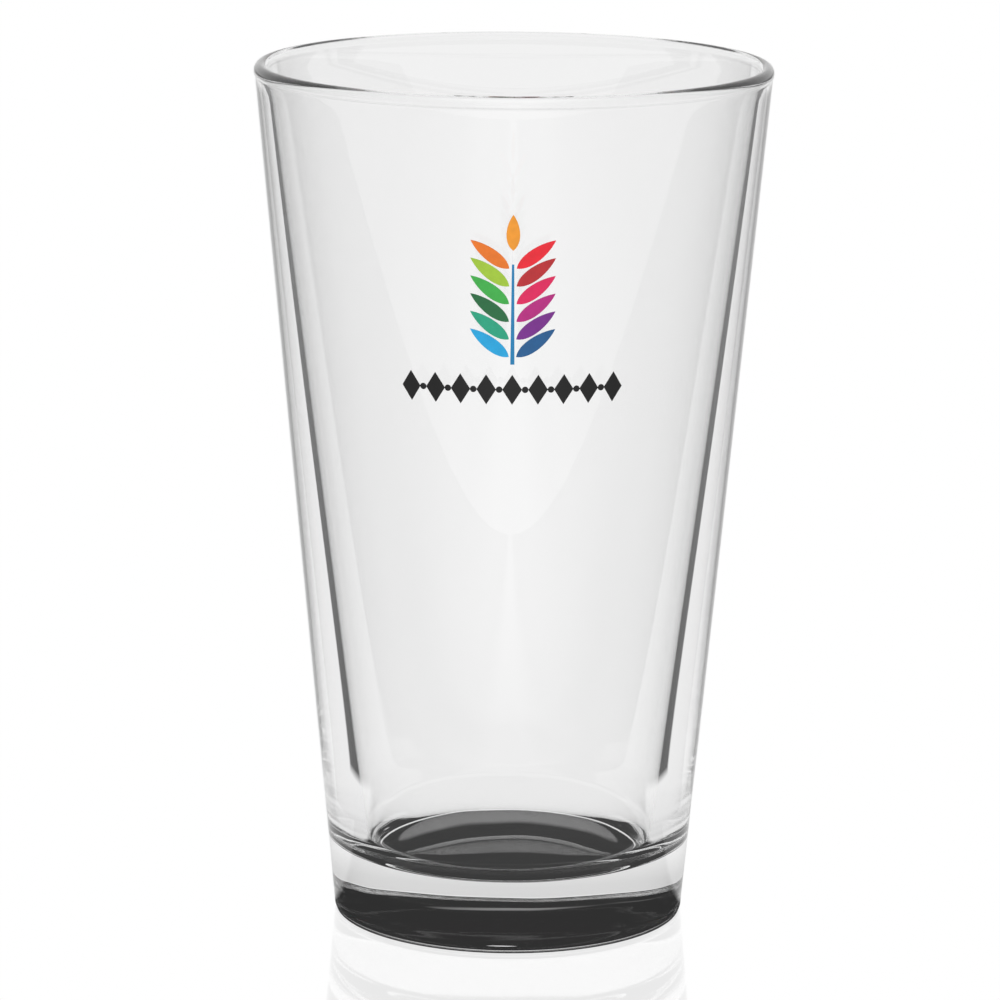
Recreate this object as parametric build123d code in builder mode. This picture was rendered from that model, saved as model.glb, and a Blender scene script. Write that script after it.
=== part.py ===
"""A 16 oz pint glass: one pressed glass body with a decoration of fired enamel films.

The glass stands on its foot ring with the origin at the centre of that ring, +Z up and
the decorated side facing -Y. All lengths are millimetres.
"""
from build123d import *
import os
from math import acos, cos, degrees, radians, sin, tan

# Driving dimensions of the glass
height = 149.2              # table to the top of the rim
rim_radius = 44.45          # outside, at the rim
rim_thickness = 2.3         # wall at the rim, fire-polished to a full roll
rim_roll = 1.35             # half height of that roll
rim_bead = 0.22             # how far the roll stands out of the outer wall
rim_crease = 1.0            # radius between the roll and the wall
foot_radius = 30.5          # outer wall carried down to the table
floor_height = 11.1         # thickness of the solid base
floor_radius = 25.0         # inner wall carried down to the floor
floor_corner = 6.0          # radius between the inner wall and the floor
heel_radius = 0.8           # radius between the outer wall and the foot
foot_ring_inner = 24.5      # inside edge of the ring that the glass stands on
foot_ring_edge = 0.8        # radius on that inside edge
push_up = 0.5               # hollow of the underside at its centre

# Driving dimensions of the decoration
film = 0.08                 # enamel laid on the outer wall
film_low, film_high = 92.0, 136.0
film_reach = 3.0            # depth of the cutting prisms either side of the wall
ear_foot = 105.6            # height where the lowest pair of grains leaves the stem
ear_rows = 6
ear_pitch = 3.0
grain_length = 8.0
grain_width = 2.25
grain_tilt = 54.0           # degrees from upright
grain_root = 0.6            # grain root to the stem's middle
tip_length = 6.1
stem_width = 0.7
stem_low = 104.3
row_height = 100.0          # middle of the row of lozenges
row_pitch = 4.3
row_side = 4                # lozenges either side of the middle one
lozenge_width, lozenge_height = 3.3, 5.2
dot_radius = 0.55

# Worked out from the above
rim_centre = height - rim_roll
roll_start = acos(1 - 2 * rim_bead / rim_thickness)   # where the wall meets the roll
crease_height = rim_centre - rim_roll * sin(roll_start)
wall_lean = (rim_radius - rim_bead - foot_radius) / crease_height
bore_radius = rim_radius - rim_thickness
GRAIN_BULGE = 0.375 * (1 + 0.8)   # half width of a grain's curve over its control point

# Enamel colours of the grains, from the top of the ear down
LEFT_GRAINS = ["orange", "lime", "green", "forest", "teal", "sky"]
RIGHT_GRAINS = ["scarlet", "crimson", "pink", "magenta", "violet", "navy"]


def wall_radius(z):
    """Outer radius of the glass at height z."""
    return foot_radius + wall_lean * z


def wall_plane(along, z, tilt=0.0):
    """Plane on the outer wall, at an arc length from the middle of the decoration.

    Its y runs up the wall, or leans over to the right by tilt degrees.
    """
    turn = along / wall_radius(z)
    lean = radians(tilt)
    spot = (wall_radius(z) * sin(turn), -wall_radius(z) * cos(turn), z)
    across = (cos(lean) * cos(turn), cos(lean) * sin(turn), -sin(lean))
    return Plane(origin=spot, x_dir=across, z_dir=(sin(turn), -cos(turn), 0))


def glass():
    """The glass itself, one turned section: hollow foot, heel, wall, rim, bore and floor."""
    with BuildPart() as body:
        with BuildSketch(Plane.XZ):
            with BuildLine():
                hollow = TangentArc((0, push_up), (foot_ring_inner, 0), tangent=(1, 0))
                foot = Line(hollow @ 1, (foot_radius, 0))
                rim = EllipticalCenterArc(
                    (rim_radius - rim_thickness / 2, rim_centre),
                    rim_thickness / 2,
                    rim_roll,
                    start_angle=-degrees(roll_start),
                    arc_size=180 + degrees(roll_start),
                )
                Line(foot @ 1, rim @ 0)
                bore = Line(rim @ 1, (floor_radius, floor_height))
                floor = Line(bore @ 1, (0, floor_height))
                Line(floor @ 1, hollow @ 0)
            section = make_face()
            corners = section.vertices()
            fillet(corners.sort_by_distance((floor_radius, 0, floor_height))[0], floor_corner)
            fillet(corners.sort_by_distance((foot_radius, 0, 0))[0], heel_radius)
            fillet(corners.sort_by_distance((foot_ring_inner, 0, 0))[0], foot_ring_edge)
            crease = (rim_radius - rim_bead, 0, crease_height)
            fillet(corners.sort_by_distance(crease)[0], rim_crease)
        revolve(axis=Axis.Z)
    return body


def film_sleeve():
    """A sleeve of enamel all round the wall, which each printed shape is cut from."""
    with BuildPart() as sleeve:
        with BuildSketch(Plane.XZ):
            with BuildLine():
                Polyline(
                    (wall_radius(film_low), film_low),
                    (wall_radius(film_low) + film, film_low),
                    (wall_radius(film_high) + film, film_high),
                    (wall_radius(film_high), film_high),
                    close=True,
                )
            make_face()
        revolve(axis=Axis.Z)
    return sleeve.part


def grain(along, z, tilt, length, sleeve):
    """One grain, full near its root and pointed at its tip, leaning out from the stem."""
    pull = grain_width / 2 / GRAIN_BULGE
    with BuildPart() as shape:
        with BuildSketch(wall_plane(along, z, tilt)):
            with BuildLine():
                Bezier((0, 0), (pull, 0.2 * length), (0.8 * pull, 0.7 * length), (0, length))
                Bezier((0, length), (-0.8 * pull, 0.7 * length), (-pull, 0.2 * length), (0, 0))
            make_face()
        extrude(amount=film_reach, both=True)
        add(sleeve, mode=Mode.INTERSECT)
    return shape


def stem(sleeve):
    """The ear's upright stem, tapering from its foot to the tip grain."""
    top = ear_foot + (ear_rows - 1) * ear_pitch + grain_root * tan(radians(grain_tilt))
    with BuildPart() as shape:
        with BuildSketch(wall_plane(0, stem_low)):
            with BuildLine():
                Polyline(
                    (-stem_width / 2, 0),
                    (stem_width / 2, 0),
                    (stem_width / 4, top - stem_low),
                    (-stem_width / 4, top - stem_low),
                    close=True,
                )
            make_face()
        extrude(amount=film_reach, both=True)
        add(sleeve, mode=Mode.INTERSECT)
    return shape


def lozenge_row(sleeve):
    """The black row under the ear: lozenges with a dot between each two."""
    with BuildPart() as shapes:
        for step in range(-2 * row_side, 2 * row_side + 1):
            with BuildSketch(wall_plane(step * row_pitch / 2, row_height)):
                if step % 2 == 0:
                    with BuildLine():
                        Polyline(
                            (0, -lozenge_height / 2),
                            (lozenge_width / 2, 0),
                            (0, lozenge_height / 2),
                            (-lozenge_width / 2, 0),
                            close=True,
                        )
                    make_face()
                else:
                    Circle(dot_radius)
            extrude(amount=film_reach, both=True)
        add(sleeve, mode=Mode.INTERSECT)
    return shapes


def write(piece, name):
    """Label a finished piece and write it to its own STEP file."""
    piece.part.label = name
    export_step(piece.part, f"parts/{name}.step")


os.makedirs("parts", exist_ok=True)
write(glass(), "glass_body")

enamel = film_sleeve()
for row in range(ear_rows):
    root_height = ear_foot + (ear_rows - 1 - row) * ear_pitch
    left = grain(-grain_root, root_height, -grain_tilt, grain_length, enamel)
    right = grain(grain_root, root_height, grain_tilt, grain_length, enamel)
    write(left, f"enamel_{LEFT_GRAINS[row]}")
    write(right, f"enamel_{RIGHT_GRAINS[row]}")
tip_height = ear_foot + ear_rows * ear_pitch
write(grain(0, tip_height, 0, tip_length, enamel), "enamel_amber")
write(stem(enamel), "enamel_blue")
write(lozenge_row(enamel), "enamel_black")
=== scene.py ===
"""A clear pint glass with a fired enamel decoration, standing on a pale table that glows with painted
light and shade.

Lengths are metres in the CAD frame: the origin is the centre of the foot, +Z is up and
the decorated side faces -Y. The glass is turned from one half section, and each enamel
colour is a thin film laid on the outside of its wall.
"""
from math import acos, atan, cos, degrees, pi, radians, sin, sqrt, tan

import bpy
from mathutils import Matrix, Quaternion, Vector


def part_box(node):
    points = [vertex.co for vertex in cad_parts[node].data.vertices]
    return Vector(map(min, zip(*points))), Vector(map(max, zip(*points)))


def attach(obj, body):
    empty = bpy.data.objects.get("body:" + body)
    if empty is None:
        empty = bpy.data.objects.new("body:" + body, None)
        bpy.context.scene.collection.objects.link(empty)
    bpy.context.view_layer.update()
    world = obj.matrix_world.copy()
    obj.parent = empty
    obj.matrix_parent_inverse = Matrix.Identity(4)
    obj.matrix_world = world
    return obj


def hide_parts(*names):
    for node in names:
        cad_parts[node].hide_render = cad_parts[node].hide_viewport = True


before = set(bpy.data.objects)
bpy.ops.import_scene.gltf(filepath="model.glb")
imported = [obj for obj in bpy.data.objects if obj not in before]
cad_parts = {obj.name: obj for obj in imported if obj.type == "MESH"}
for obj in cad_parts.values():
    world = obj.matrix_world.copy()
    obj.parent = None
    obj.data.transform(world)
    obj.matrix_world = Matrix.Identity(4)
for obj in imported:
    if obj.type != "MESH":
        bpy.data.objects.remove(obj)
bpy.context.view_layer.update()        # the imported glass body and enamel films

glass_low, glass_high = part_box("glass_body")

MM = 0.001

# ---------------------------------------------------------------- sizes of the glass
HEIGHT = glass_high[2] - glass_low[2]
RIM_RADIUS = (glass_high[0] - glass_low[0]) / 2
RIM_THICKNESS = 2.3 * MM
RIM_ROLL = 1.35 * MM            # half height of the rolled rim
RIM_BEAD = 0.22 * MM            # how far the roll stands out of the wall
FOOT_RADIUS = 30.5 * MM         # outer wall carried down to the table
FLOOR_HEIGHT = 11.1 * MM
FLOOR_RADIUS = 25.0 * MM        # inner wall carried down to the floor
FLOOR_CORNER = 6.0 * MM
HEEL_RADIUS = 0.8 * MM
FOOT_RING_INNER = 24.5 * MM
PUSH_UP = 0.5 * MM
RIM_CENTRE = HEIGHT - RIM_ROLL
ROLL_START = acos(1 - 2 * RIM_BEAD / RIM_THICKNESS)     # where the wall meets the roll
CREASE_HEIGHT = RIM_CENTRE - RIM_ROLL * sin(ROLL_START)
WALL_LEAN = (RIM_RADIUS - RIM_BEAD - FOOT_RADIUS) / CREASE_HEIGHT
BORE_RADIUS = RIM_RADIUS - RIM_THICKNESS
BORE_LEAN = (BORE_RADIUS - FLOOR_RADIUS) / (RIM_CENTRE - FLOOR_HEIGHT)
CREASE_REACH = 0.3 * MM         # the hollow curve's reach either side of the crease
HEEL_LEAD = 0.3 * MM            # the foot's flat run stops this far short of the heel
BORE_LEAD = 0.6 * MM            # the bore's run stops this far above the floor's corner
HOLLOW_STEPS, FOOT_STEPS, HEEL_STEPS, WALL_STEPS = 16, 3, 14, 48
CREASE_STEPS, ROLL_STEPS, CORNER_STEPS, FLOOR_STEPS = 8, 28, 16, 14
RIPPLE = 0.28 * MM              # unevenness of the pressed base
RIPPLE_SIZE = 17 * MM           # width of its swells
BORE_RIPPLE = 0.1               # share of it on the inside
RIPPLE_LOW, RIPPLE_HIGH = 0.9 * MM, 32 * MM
RIPPLE_RISE, RIPPLE_FALL = 4 * MM, 12 * MM      # it comes in and dies out over these
RIPPLE_HOLLOW = 15 * MM         # radius where it starts under the foot
RIPPLE_END = 3 * MM             # it dies out over this before the foot's flat ring
SKIN_DEPTH = 1 * MM             # how far under the wall's line still counts as outside
TURN_STEPS = 224

# ---------------------------------------------------------------- sizes of the enamel
FILM = 0.08 * MM
FILM_KEY = 0.04 * MM            # how far the film is fused into the glass
FILM_EDGE = 0.03 * MM
FILM_START = 0.3 * MM           # a flat shape is held this far off the wall before it is laid
EAR_FOOT = 105.6 * MM
EAR_ROWS = 6
EAR_PITCH = 3.0 * MM
GRAIN_LENGTH = 8.0 * MM
GRAIN_WIDTH = 2.25 * MM
GRAIN_TILT = 54.0
GRAIN_ROOT = 0.6 * MM           # grain root to the stem's middle
GRAIN_LOW, GRAIN_HIGH = 0.2, 0.7        # heights of the side curve's two handles
GRAIN_SHOULDER = 0.8                    # width of its upper handle over its lower one
TIP_LENGTH = 6.1 * MM
STEM_WIDTH = 0.7 * MM
STEM_LOW = 104.3 * MM
ROW_HEIGHT = 100.0 * MM
ROW_PITCH = 4.3 * MM
ROW_SIDE = 4
LOZENGE_WIDTH, LOZENGE_HEIGHT = 3.3 * MM, 5.2 * MM
DOT_RADIUS = 0.55 * MM
STEM_STEPS = 24
UPRIGHT = (pi / 2, 0, 0)        # turns a flat primitive to face the decorated side

LEFT_GRAINS = ["orange", "lime", "green", "forest", "teal", "sky"]
RIGHT_GRAINS = ["scarlet", "crimson", "pink", "magenta", "violet", "navy"]


def wall_radius(z):
    """Outer radius of the glass at height z."""
    return FOOT_RADIUS + WALL_LEAN * z


# ---------------------------------------------------------------- small modelling helpers
def deselect():
    """Leave edit mode and select nothing."""
    if bpy.context.object and bpy.context.object.mode != "OBJECT":
        bpy.ops.object.mode_set(mode="OBJECT")
    bpy.ops.object.select_all(action="DESELECT")


def take(piece):
    """Make one piece the selected and active object."""
    deselect()
    piece.select_set(True)
    bpy.context.view_layer.objects.active = piece


def settle(piece):
    """Put the piece's place, turn and size into its mesh."""
    take(piece)
    bpy.ops.object.transform_apply(location=True, rotation=True, scale=True)


def smooth(piece, angle=None):
    """Shade a piece smooth, all over or under an angle."""
    take(piece)
    if angle is None:
        bpy.ops.object.shade_smooth()
    else:
        bpy.ops.object.shade_smooth_by_angle(angle=radians(angle))


# ---------------------------------------------------------------- the glass
def draw_to(pen, r, z):
    """Extrude the section's last point to radius r and height z; returns the new place."""
    step = (r - pen[0], 0, z - pen[1])
    bpy.ops.mesh.extrude_vertices_move(TRANSFORM_OT_translate={"value": step})
    return (r, z)


def draw_run(pen, r, z, steps):
    """Draw a straight run in equal steps."""
    start = pen
    for i in range(1, steps + 1):
        across = start[0] + (r - start[0]) * i / steps
        up = start[1] + (z - start[1]) * i / steps
        pen = draw_to(pen, across, up)
    return pen


def draw_arc(pen, centre, radii, start, stop, steps):
    """Draw an arc of the section about a centre, angles in degrees from outwards."""
    for i in range(steps + 1):
        angle = radians(start + (stop - start) * i / steps)
        pen = draw_to(pen, centre[0] + radii[0] * cos(angle), centre[1] + radii[1] * sin(angle))
    return pen


def turn_glass():
    """The glass: its half section drawn point by point, then spun about the axis."""
    wall_angle = atan(WALL_LEAN)
    bore_angle = atan(BORE_LEAN)
    heel = (FOOT_RADIUS + WALL_LEAN * HEEL_RADIUS - HEEL_RADIUS / cos(wall_angle), HEEL_RADIUS)
    corner = (
        FLOOR_RADIUS + BORE_LEAN * FLOOR_CORNER - FLOOR_CORNER / cos(bore_angle),
        FLOOR_HEIGHT + FLOOR_CORNER,
    )
    hollow_radius = (FOOT_RING_INNER**2 + PUSH_UP**2) / (2 * PUSH_UP)

    deselect()
    bpy.ops.mesh.primitive_plane_add(size=MM, location=(0, 0, PUSH_UP))
    body = bpy.context.object
    body.name = "turned_glass"
    bpy.ops.object.mode_set(mode="EDIT")
    bpy.ops.mesh.select_mode(type="VERT")
    bpy.ops.mesh.merge(type="CENTER")
    pen = (0.0, PUSH_UP)
    for i in range(1, HOLLOW_STEPS + 1):
        r = FOOT_RING_INNER * i / HOLLOW_STEPS
        pen = draw_to(pen, r, PUSH_UP - hollow_radius + sqrt(hollow_radius**2 - r**2))
    pen = draw_run(pen, heel[0] - HEEL_LEAD, 0, FOOT_STEPS)
    pen = draw_arc(pen, heel, (HEEL_RADIUS, HEEL_RADIUS), -90, -degrees(wall_angle), HEEL_STEPS)
    wall_top = CREASE_HEIGHT - CREASE_REACH
    pen = draw_run(pen, wall_radius(wall_top), wall_top, WALL_STEPS)
    # a hollow curve joins the wall to the roll
    roll = (RIM_RADIUS - RIM_THICKNESS / 2, RIM_CENTRE)
    roll_angle = ROLL_START - CREASE_REACH / RIM_ROLL
    meet = (roll[0] + RIM_THICKNESS / 2 * cos(roll_angle), roll[1] - RIM_ROLL * sin(roll_angle))
    pull = (wall_radius(CREASE_HEIGHT), CREASE_HEIGHT)
    start = pen
    for i in range(1, CREASE_STEPS):
        t = i / CREASE_STEPS
        shares = ((1 - t) ** 2, 2 * t * (1 - t), t * t)
        r = sum(share * point[0] for share, point in zip(shares, (start, pull, meet)))
        z = sum(share * point[1] for share, point in zip(shares, (start, pull, meet)))
        pen = draw_to(pen, r, z)
    roll_radii = (RIM_THICKNESS / 2, RIM_ROLL)
    pen = draw_arc(pen, roll, roll_radii, -degrees(roll_angle), 180, ROLL_STEPS)
    low_bore = corner[1] + BORE_LEAD
    pen = draw_run(pen, FLOOR_RADIUS + BORE_LEAN * (low_bore - FLOOR_HEIGHT), low_bore, WALL_STEPS)
    pen = draw_arc(pen, corner, (FLOOR_CORNER, FLOOR_CORNER), -degrees(bore_angle), -90, CORNER_STEPS)
    draw_run(pen, 0.0, FLOOR_HEIGHT, FLOOR_STEPS)
    bpy.ops.mesh.select_all(action="SELECT")
    bpy.ops.mesh.spin(
        steps=TURN_STEPS, angle=2 * pi, use_auto_merge=True, center=(0, 0, 0), axis=(0, 0, 1)
    )
    bpy.ops.mesh.select_all(action="SELECT")
    bpy.ops.mesh.remove_doubles(threshold=1e-6)
    bpy.ops.mesh.normals_make_consistent(inside=False)
    deselect()
    settle(body)
    smooth(body)
    return body


def ripple(body):
    """Work the slight unevenness of pressed glass into the base and, less, into the wall."""
    group = body.vertex_groups.new(name="uneven")
    for vertex in body.data.vertices:
        z = vertex.co.z
        r = sqrt(vertex.co.x**2 + vertex.co.y**2)
        rise = min(max((z - RIPPLE_LOW) / RIPPLE_RISE, 0), 1)
        fall = min(max((RIPPLE_HIGH - z) / RIPPLE_FALL, 0), 1)
        if z < 2 * PUSH_UP and r < FOOT_RING_INNER:
            outwards = max((r - RIPPLE_HOLLOW) / RIPPLE_RISE, 0)
            inwards = (FOOT_RING_INNER - r) / RIPPLE_END
            share = min(outwards, inwards, 1)
        elif r > wall_radius(z) - SKIN_DEPTH:
            share = rise * fall
        else:
            share = BORE_RIPPLE * rise * fall
        group.add([vertex.index], share, "REPLACE")
    clouds = bpy.data.textures.new("uneven", "CLOUDS")
    clouds.noise_scale = RIPPLE_SIZE
    clouds.noise_depth = 1
    take(body)
    uneven = body.modifiers.new("uneven", "DISPLACE")
    uneven.texture = clouds
    uneven.texture_coords = "LOCAL"
    uneven.vertex_group = group.name
    uneven.mid_level = 0.5
    uneven.strength = RIPPLE
    bpy.ops.object.modifier_apply(modifier=uneven.name)
    body.vertex_groups.clear()


# ---------------------------------------------------------------- the enamel films
def flat_grain(length):
    """A flat grain in the XZ plane, its root at the origin and its point upwards."""
    across, along = 8, 24
    deselect()
    bpy.ops.mesh.primitive_grid_add(
        x_subdivisions=across, y_subdivisions=along, size=1, rotation=UPRIGHT, location=(0, 0, 0)
    )
    piece = bpy.context.object
    piece.scale = (1, length, 1)
    settle(piece)
    piece.location = (0, 0, length / 2)
    settle(piece)
    mesh = piece.data
    rows = {}
    for vertex in mesh.vertices:
        rows.setdefault(round(vertex.co.z / length * along), []).append(vertex.index)
    bpy.ops.object.mode_set(mode="EDIT")
    bpy.ops.mesh.select_mode(type="VERT")
    for row, members in sorted(rows.items()):
        width = GRAIN_WIDTH * grain_outline(row / along)
        bpy.ops.mesh.select_all(action="DESELECT")
        bpy.ops.object.mode_set(mode="OBJECT")
        for index in members:
            mesh.vertices[index].select = True
        bpy.ops.object.mode_set(mode="EDIT")
        bpy.ops.transform.resize(value=(max(width, 1e-6), 1, 1))
    bpy.ops.mesh.select_all(action="SELECT")
    bpy.ops.mesh.remove_doubles(threshold=2e-6)
    deselect()
    return piece


def grain_outline(t):
    """Width of a grain over its widest, at t of its length: a cubic curve's two sides."""
    low, high = 0.0, 1.0
    for _ in range(40):
        s = (low + high) / 2
        up = 3 * s * (1 - s) ** 2 * GRAIN_LOW + 3 * s * s * (1 - s) * GRAIN_HIGH + s**3
        if up < t:
            low = s
        else:
            high = s
    side = 3 * s * (1 - s) ** 2 + 3 * s * s * (1 - s) * GRAIN_SHOULDER
    return side / (0.375 * (1 + GRAIN_SHOULDER))


def flat_stem(length):
    """The flat tapering stem, its foot at the origin."""
    deselect()
    bpy.ops.mesh.primitive_grid_add(
        x_subdivisions=2, y_subdivisions=STEM_STEPS, size=1, rotation=UPRIGHT, location=(0, 0, 0)
    )
    piece = bpy.context.object
    piece.scale = (STEM_WIDTH, length, 1)
    settle(piece)
    piece.location = (0, 0, length / 2)
    settle(piece)
    bpy.ops.object.mode_set(mode="EDIT")
    bpy.ops.mesh.select_mode(type="VERT")
    for step in range(STEM_STEPS + 1):
        bpy.ops.mesh.select_all(action="DESELECT")
        bpy.ops.object.mode_set(mode="OBJECT")
        for vertex in piece.data.vertices:
            vertex.select = round(vertex.co.z / length * STEM_STEPS) == step
        bpy.ops.object.mode_set(mode="EDIT")
        bpy.ops.transform.resize(value=(1 - 0.5 * step / STEM_STEPS, 1, 1))
    deselect()
    return piece


def flat_lozenge():
    """A flat upright lozenge about the origin."""
    deselect()
    bpy.ops.mesh.primitive_grid_add(
        x_subdivisions=8, y_subdivisions=8, size=sqrt(0.5), rotation=UPRIGHT, location=(0, 0, 0)
    )
    piece = bpy.context.object
    settle(piece)
    piece.rotation_euler = (0, pi / 4, 0)
    settle(piece)
    piece.scale = (LOZENGE_WIDTH, 1, LOZENGE_HEIGHT)
    settle(piece)
    return piece


def flat_dot():
    """A flat round dot about the origin."""
    deselect()
    bpy.ops.mesh.primitive_circle_add(
        vertices=32, radius=DOT_RADIUS, fill_type="TRIFAN", rotation=UPRIGHT, location=(0, 0, 0)
    )
    piece = bpy.context.object
    settle(piece)
    return piece


def copy_of(piece):
    """A copy with its own mesh."""
    twin = piece.copy()
    twin.data = piece.data.copy()
    bpy.context.collection.objects.link(twin)
    return twin


def place_on_wall(piece, along, z, tilt=0.0):
    """Lean a flat shape to the right by tilt degrees and stand it against the wall."""
    turn = along / wall_radius(z)
    piece.rotation_euler = (0, radians(tilt), 0)
    settle(piece)
    piece.location = (0, -wall_radius(z) - FILM_START, z)
    settle(piece)
    piece.rotation_euler = (0, 0, turn)
    settle(piece)


def lay_film(piece, glass):
    """Wrap a flat shape onto the wall and give it the film's thickness."""
    take(piece)
    wrap = piece.modifiers.new("wrap", "SHRINKWRAP")
    wrap.target = glass
    wrap.wrap_method = "NEAREST_SURFACEPOINT"
    wrap.wrap_mode = "OUTSIDE_SURFACE"
    wrap.offset = FILM
    bpy.ops.object.modifier_apply(modifier=wrap.name)
    bpy.ops.object.mode_set(mode="EDIT")
    bpy.ops.mesh.select_all(action="SELECT")
    bpy.ops.mesh.normals_make_consistent(inside=False)
    bpy.ops.object.mode_set(mode="OBJECT")
    if piece.data.polygons[0].normal.y > 0:
        bpy.ops.object.mode_set(mode="EDIT")
        bpy.ops.mesh.flip_normals()
        bpy.ops.object.mode_set(mode="OBJECT")
    wall = piece.modifiers.new("thickness", "SOLIDIFY")
    wall.thickness = FILM + FILM_KEY
    wall.offset = -1
    bpy.ops.object.modifier_apply(modifier=wall.name)
    edge = piece.modifiers.new("edge", "BEVEL")
    edge.width = FILM_EDGE
    edge.segments = 2
    edge.limit_method = "ANGLE"
    edge.angle_limit = radians(50)
    bpy.ops.object.modifier_apply(modifier=edge.name)
    smooth(piece, 40)


def join(pieces, name):
    """Join pieces into one object."""
    deselect()
    for piece in pieces:
        piece.select_set(True)
    bpy.context.view_layer.objects.active = pieces[0]
    bpy.ops.object.join()
    pieces[0].name = name
    return pieces[0]


# ---------------------------------------------------------------- materials
GLASS_IOR = 1.52
MOTTLE_SCALE = 900.0            # about one millimetre across
MOTTLE_DARK, MOTTLE_PALE = 0.93, 1.05   # shares of the enamel's colour
GLOSS_FINE, GLOSS_COARSE = 0.28, 0.42   # roughness of the fired surface
PEEL_STRENGTH = 0.3
PEEL_DEPTH = 0.01 * MM


def new_material(name):
    """A node material and its Principled shader."""
    material = bpy.data.materials.new(name)
    material.use_nodes = True
    return material, material.node_tree.nodes["Principled BSDF"]


def clear_glass():
    """Clear, colourless soda-lime glass."""
    material, shader = new_material("clear_glass")
    shader.inputs["Base Color"].default_value = (1, 1, 1, 1)
    shader.inputs["Transmission Weight"].default_value = 1.0
    shader.inputs["Roughness"].default_value = 0.0
    shader.inputs["IOR"].default_value = GLASS_IOR
    return material


def enamel(name, colour):
    """Fired ceramic enamel: even colour, slightly mottled, with a soft gloss."""
    material, shader = new_material(name)
    nodes, links = material.node_tree.nodes, material.node_tree.links
    place = nodes.new("ShaderNodeTexCoord")
    mottle = nodes.new("ShaderNodeTexNoise")
    mottle.inputs["Scale"].default_value = MOTTLE_SCALE
    mottle.inputs["Detail"].default_value = 3.0
    links.new(place.outputs["Object"], mottle.inputs["Vector"])
    tint = nodes.new("ShaderNodeValToRGB")
    tint.color_ramp.elements[0].position = 0.3
    tint.color_ramp.elements[1].position = 0.7
    tint.color_ramp.elements[0].color = [c * MOTTLE_DARK for c in colour] + [1]
    tint.color_ramp.elements[1].color = [min(1, c * MOTTLE_PALE) for c in colour] + [1]
    links.new(mottle.outputs["Fac"], tint.inputs["Fac"])
    links.new(tint.outputs["Color"], shader.inputs["Base Color"])
    gloss = nodes.new("ShaderNodeMapRange")
    gloss.inputs["To Min"].default_value = GLOSS_FINE
    gloss.inputs["To Max"].default_value = GLOSS_COARSE
    links.new(mottle.outputs["Fac"], gloss.inputs["Value"])
    links.new(gloss.outputs["Result"], shader.inputs["Roughness"])
    peel = nodes.new("ShaderNodeBump")
    peel.inputs["Strength"].default_value = PEEL_STRENGTH
    peel.inputs["Distance"].default_value = PEEL_DEPTH
    links.new(mottle.outputs["Fac"], peel.inputs["Height"])
    links.new(peel.outputs["Normal"], shader.inputs["Normal"])
    return material


def dress(piece, material):
    """Give a piece its one material."""
    piece.data.materials.clear()
    piece.data.materials.append(material)


ENAMELS = {
    "amber": (0.95, 0.35, 0.024),
    "orange": (0.90, 0.20, 0.014),
    "scarlet": (0.90, 0.012, 0.030),
    "crimson": (0.53, 0.020, 0.026),
    "pink": (0.80, 0.010, 0.110),
    "magenta": (0.51, 0.014, 0.226),
    "violet": (0.20, 0.018, 0.28),
    "navy": (0.010, 0.11, 0.30),
    "blue": (0.010, 0.23, 0.50),
    "sky": (0.010, 0.41, 0.79),
    "teal": (0.016, 0.40, 0.23),
    "forest": (0.014, 0.16, 0.050),
    "green": (0.050, 0.46, 0.070),
    "lime": (0.39, 0.62, 0.040),
    "black": (0.004, 0.004, 0.004),
}

# ---------------------------------------------------------------- build the pieces
glass = turn_glass()
ripple(glass)
dress(glass, clear_glass())
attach(glass, "root")
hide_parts("glass_body")

films = {}
grain = flat_grain(GRAIN_LENGTH)
for row in range(EAR_ROWS):
    root = EAR_FOOT + (EAR_ROWS - 1 - row) * EAR_PITCH
    for colour, side in ((LEFT_GRAINS[row], -1), (RIGHT_GRAINS[row], 1)):
        film = copy_of(grain)
        place_on_wall(film, side * GRAIN_ROOT, root, side * GRAIN_TILT)
        films[colour] = film
bpy.data.objects.remove(grain)
films["amber"] = flat_grain(TIP_LENGTH)
place_on_wall(films["amber"], 0, EAR_FOOT + EAR_ROWS * EAR_PITCH)
stem_top = EAR_FOOT + (EAR_ROWS - 1) * EAR_PITCH + GRAIN_ROOT * tan(radians(GRAIN_TILT))
films["blue"] = flat_stem(stem_top - STEM_LOW)
place_on_wall(films["blue"], 0, STEM_LOW)
lozenge, dot = flat_lozenge(), flat_dot()
row_pieces = []
for step in range(-2 * ROW_SIDE, 2 * ROW_SIDE + 1):
    mark = copy_of(dot if step % 2 else lozenge)
    place_on_wall(mark, step * ROW_PITCH / 2, ROW_HEIGHT)
    row_pieces.append(mark)
bpy.data.objects.remove(lozenge)
bpy.data.objects.remove(dot)
for mark in row_pieces:
    lay_film(mark, glass)
for film in films.values():
    lay_film(film, glass)
films["black"] = join(row_pieces, "black_row")
for colour, film in films.items():
    film.name = f"{colour}_film"
    dress(film, enamel(f"{colour}_enamel", ENAMELS[colour]))
    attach(film, "root")
    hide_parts(f"enamel_{colour}")

# ---------------------------------------------------------------- table and studio
TABLE_RADIUS = 9.0
TABLE_DROP = 0.3 * MM           # the table's top under the foot
TABLE_POLISH = 0.20
POLISH_ROUGHNESS = 0.03
FOOT_SHADE = 0.72               # painted shade on the table close to the foot
THROUGH_LIGHT = 0.88            # painted light on the table further out, and light low in the sky
SHADE_NEAR, SHADE_FAR = 0.045, 0.075    # it changes between these distances
TWO_WALL_LIGHT = 0.95           # painted light met after passing both walls
TWO_WALL_TURNS = 3.5            # a ray that has met the glass more often has passed both
GUIDED_LIGHT = 0.85             # painted light for rays led down inside the wall
GUIDED_TURNS = 9.5              # a ray mirrored more often than this is led so
SKIN_LIGHT = 0.5                # painted light on the table for what the outside of the wall mirrors
SKIN_NEAR, SKIN_FAR = 0.042, 0.080      # it comes in between these distances
LANE_WIDTH = 0.481              # half width of the painted lit lane one metre behind the glass
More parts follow.
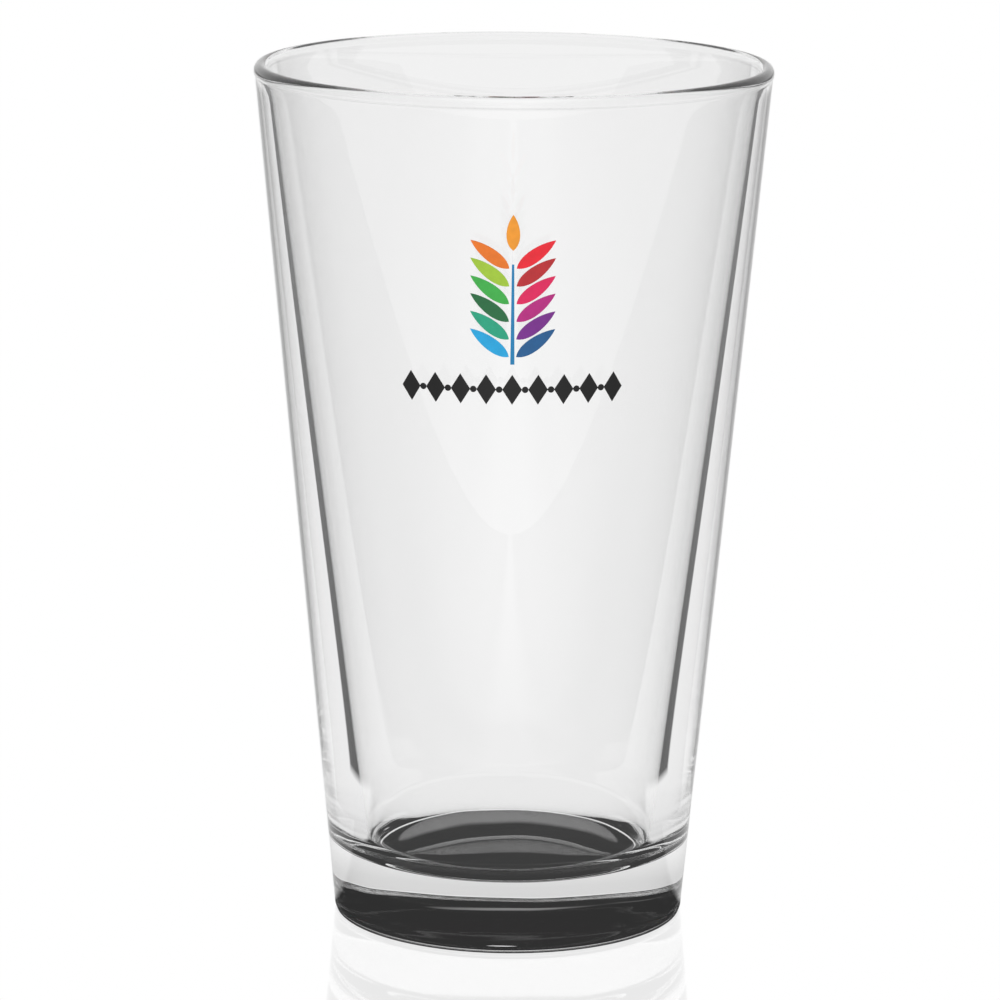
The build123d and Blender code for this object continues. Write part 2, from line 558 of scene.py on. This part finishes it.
LANE_SPREAD = 0.557             # power of the distance that it widens with
LANE_FOOT = 0.072               # half width beside the glass
LANE_EDGE = 0.004               # softness of its edges
LANE_DARK = 0.03                # painted dark beside the lane
FRONT_LIGHT = 0.9               # painted light in front of the glass
FRONT_NEAR, FRONT_FAR = -0.08, -0.16    # it comes in between these, going forwards
FRONT_INNER, FRONT_OUTER = 0.10, 0.30   # and dies out between these, going sideways
# painted shadow: a dark glowing disc under the foot, in place of its shade
SHADOW_DISC_RADIUS = 30.3 * MM
SHADOW_DISC_DROP = 0.1 * MM
SHADOW_DISC_LIGHT = 0.035
SKY_DARK = 0.03                 # light from higher up, as the glass shows it
SKY_LOW, SKY_HIGH = 0.10, 0.20  # the sky darkens between these slopes
CAMERA_PLACE = (-0.001872, -0.85493, 0.25899)
CAMERA_DOWN = 12.292
CAMERA_ROLL = 0.413
CAMERA_LENS = 181.055


def emission(name, strength):
    """A plain glowing surface."""
    material = bpy.data.materials.new(name)
    material.use_nodes = True
    nodes = material.node_tree.nodes
    nodes.remove(nodes["Principled BSDF"])
    glow = nodes.new("ShaderNodeEmission")
    glow.inputs["Strength"].default_value = strength
    material.node_tree.links.new(glow.outputs["Emission"], nodes["Material Output"].inputs["Surface"])
    return material


def node_math(nodes, links, operation, first, second):
    """A Math node on two values or sockets; returns its output."""
    node = nodes.new("ShaderNodeMath")
    node.operation = operation
    for socket, value in zip(node.inputs, (first, second)):
        if isinstance(value, (int, float)):
            socket.default_value = value
        else:
            links.new(value, socket)
    return node.outputs["Value"]


def ramp_between(nodes, links, value, low, high, at_low, at_high):
    """A clamped straight ramp of a value."""
    node = nodes.new("ShaderNodeMapRange")
    node.inputs["From Min"].default_value = low
    node.inputs["From Max"].default_value = high
    node.inputs["To Min"].default_value = at_low
    node.inputs["To Max"].default_value = at_high
    links.new(value, node.inputs["Value"])
    return node.outputs["Result"]


def guided(nodes, links, rays):
    """The painted light for rays mirrored many times inside the glass."""
    many = node_math(nodes, links, "GREATER_THAN", rays.outputs["Glossy Depth"], GUIDED_TURNS)
    return node_math(nodes, links, "MULTIPLY", many, GUIDED_LIGHT)


def lit_lane(nodes, links, x, y):
    """What rays mirrored inside the glass meet: a painted lit lane behind it, painted dark beside it
    and a painted light in front.
    """
    aside = node_math(nodes, links, "ABSOLUTE", x, 0)
    width = node_math(nodes, links, "POWER", node_math(nodes, links, "MAXIMUM", y, 0), LANE_SPREAD)
    width = node_math(nodes, links, "MULTIPLY", width, LANE_WIDTH)
    width = node_math(nodes, links, "MAXIMUM", width, LANE_FOOT)
    past = node_math(nodes, links, "SUBTRACT", aside, width)
    lane = ramp_between(nodes, links, past, 0, LANE_EDGE, 1.0, 0.0)
    behind = ramp_between(nodes, links, y, 0.0, LANE_EDGE, 0.0, 1.0)
    lane = node_math(nodes, links, "MULTIPLY", lane, behind)
    front = ramp_between(nodes, links, y, FRONT_FAR, FRONT_NEAR, FRONT_LIGHT, 0.0)
    middle = ramp_between(nodes, links, aside, FRONT_INNER, FRONT_OUTER, 1.0, 0.0)
    front = node_math(nodes, links, "MULTIPLY", front, middle)
    lane = node_math(nodes, links, "MAXIMUM", lane, front)
    return node_math(nodes, links, "MAXIMUM", lane, LANE_DARK)


def table_light(nodes, links):
    """How bright the table is: plain white to the eye, painted light and shade through the glass and
    mirrored in it; also its rays.
    """
    place = nodes.new("ShaderNodeTexCoord")
    split = nodes.new("ShaderNodeSeparateXYZ")
    links.new(place.outputs["Object"], split.inputs["Vector"])
    distance = nodes.new("ShaderNodeVectorMath")
    distance.operation = "LENGTH"
    links.new(place.outputs["Object"], distance.inputs[0])
    out = distance.outputs["Value"]
    rays = nodes.new("ShaderNodeLightPath")

    lane = lit_lane(nodes, links, split.outputs["X"], split.outputs["Y"])
    mirrored = node_math(nodes, links, "GREATER_THAN", rays.outputs["Glossy Depth"], 0.5)
    plain = node_math(nodes, links, "SUBTRACT", 1.0, mirrored)
    level = node_math(nodes, links, "MAXIMUM", lane, plain)
    # painted shade close round the foot, but not for rays that pass both walls
    shade = ramp_between(nodes, links, out, SHADE_NEAR, SHADE_FAR, FOOT_SHADE, THROUGH_LIGHT)
    both = node_math(nodes, links, "GREATER_THAN", rays.outputs["Transmission Depth"], TWO_WALL_TURNS)
    both = node_math(nodes, links, "MULTIPLY", both, plain)
    both = node_math(nodes, links, "MULTIPLY", both, TWO_WALL_LIGHT)
    shade = node_math(nodes, links, "MAXIMUM", shade, both)
    level = node_math(nodes, links, "MULTIPLY", level, shade)
    level = node_math(nodes, links, "MAXIMUM", level, guided(nodes, links, rays))
    # what the outside of the wall mirrors gets painted light everywhere but in a painted shadow of
    # the foot
    skin = node_math(nodes, links, "LESS_THAN", rays.outputs["Transmission Depth"], 0.5)
    clear = ramp_between(nodes, links, out, SKIN_NEAR, SKIN_FAR, 0.0, SKIN_LIGHT)
    skin = node_math(nodes, links, "MULTIPLY", skin, clear)
    level = node_math(nodes, links, "MAXIMUM", level, skin)
    return node_math(nodes, links, "MAXIMUM", level, rays.outputs["Is Camera Ray"]), rays


def painted_light_table():
    """A wide pale table top that glows, with painted light and shade for what the glass shows, and is
    slightly polished to the eye.
    """
    deselect()
    bpy.ops.mesh.primitive_circle_add(
        vertices=96, radius=TABLE_RADIUS, fill_type="NGON", location=(0, 0, -TABLE_DROP)
    )
    table = bpy.context.object
    table.name = "table"
    settle(table)
    material = emission("painted_light_table", 1.0)
    nodes, links = material.node_tree.nodes, material.node_tree.links
    level, rays = table_light(nodes, links)
    glow = nodes["Emission"]
    links.new(level, glow.inputs["Strength"])
    polish = nodes.new("ShaderNodeBsdfGlossy")
    polish.inputs["Color"].default_value = (1, 1, 1, 1)
    polish.inputs["Roughness"].default_value = POLISH_ROUGHNESS
    blend = nodes.new("ShaderNodeMixShader")
    share = node_math(nodes, links, "MULTIPLY", rays.outputs["Is Camera Ray"], TABLE_POLISH)
    links.new(share, blend.inputs["Fac"])
    links.new(glow.outputs["Emission"], blend.inputs[1])
    links.new(polish.outputs["BSDF"], blend.inputs[2])
    links.new(blend.outputs["Shader"], nodes["Material Output"].inputs["Surface"])
    dress(table, material)


def painted_shadow_disc():
    """A dark glowing disc under the hollow of the foot: painted shade, with painted light for rays
    mirrored many times inside the glass.
    """
    deselect()
    bpy.ops.mesh.primitive_circle_add(
        vertices=96, radius=SHADOW_DISC_RADIUS, fill_type="NGON", location=(0, 0, -SHADOW_DISC_DROP)
    )
    shadow_disc = bpy.context.object
    shadow_disc.name = "shadow_disc"
    settle(shadow_disc)
    material = emission("painted_shadow_disc", SHADOW_DISC_LIGHT)
    nodes, links = material.node_tree.nodes, material.node_tree.links
    rays = nodes.new("ShaderNodeLightPath")
    level = node_math(nodes, links, "MAXIMUM", guided(nodes, links, rays), SHADOW_DISC_LIGHT)
    links.new(level, nodes["Emission"].inputs["Strength"])
    dress(shadow_disc, material)


def studio_world():
    """White all round for the eye and for matt surfaces; dark above the horizon for glass."""
    world = bpy.data.worlds.new("studio")
    bpy.context.scene.world = world
    world.use_nodes = True
    nodes, links = world.node_tree.nodes, world.node_tree.links
    place = nodes.new("ShaderNodeTexCoord")
    split = nodes.new("ShaderNodeSeparateXYZ")
    links.new(place.outputs["Generated"], split.inputs["Vector"])
    fade = ramp_between(nodes, links, split.outputs["Z"], SKY_LOW, SKY_HIGH, THROUGH_LIGHT, SKY_DARK)
    rays = nodes.new("ShaderNodeLightPath")
    outside = node_math(nodes, links, "LESS_THAN", rays.outputs["Transmission Depth"], 0.5)
    seen = node_math(nodes, links, "MAXIMUM", outside, rays.outputs["Is Diffuse Ray"])
    level = node_math(nodes, links, "MAXIMUM", fade, seen)
    links.new(level, nodes["Background"].inputs["Strength"])
    nodes["Background"].inputs["Color"].default_value = (1, 1, 1, 1)


def set_camera():
    """A long lens from in front of the print, a little above the rim."""
    data = bpy.data.cameras.new("camera")
    camera = bpy.data.objects.new("camera", data)
    bpy.context.collection.objects.link(camera)
    data.lens = CAMERA_LENS
    data.sensor_width = 36.0
    data.clip_start = 0.05
    data.clip_end = 30.0
    camera.location = CAMERA_PLACE
    camera.rotation_euler = (radians(90 - CAMERA_DOWN), 0, 0)
    camera.rotation_mode = "QUATERNION"
    roll = Quaternion((0, 0, 1), radians(CAMERA_ROLL))
    camera.rotation_quaternion = camera.rotation_quaternion @ roll
    bpy.context.scene.camera = camera


painted_light_table()
painted_shadow_disc()
studio_world()
set_camera()

scene = bpy.context.scene
scene.view_settings.view_transform = "Standard"
scene.view_settings.look = "None"
scene.cycles.max_bounces = 48
scene.cycles.transmission_bounces = 40
scene.cycles.glossy_bounces = 40
scene.cycles.transparent_max_bounces = 16
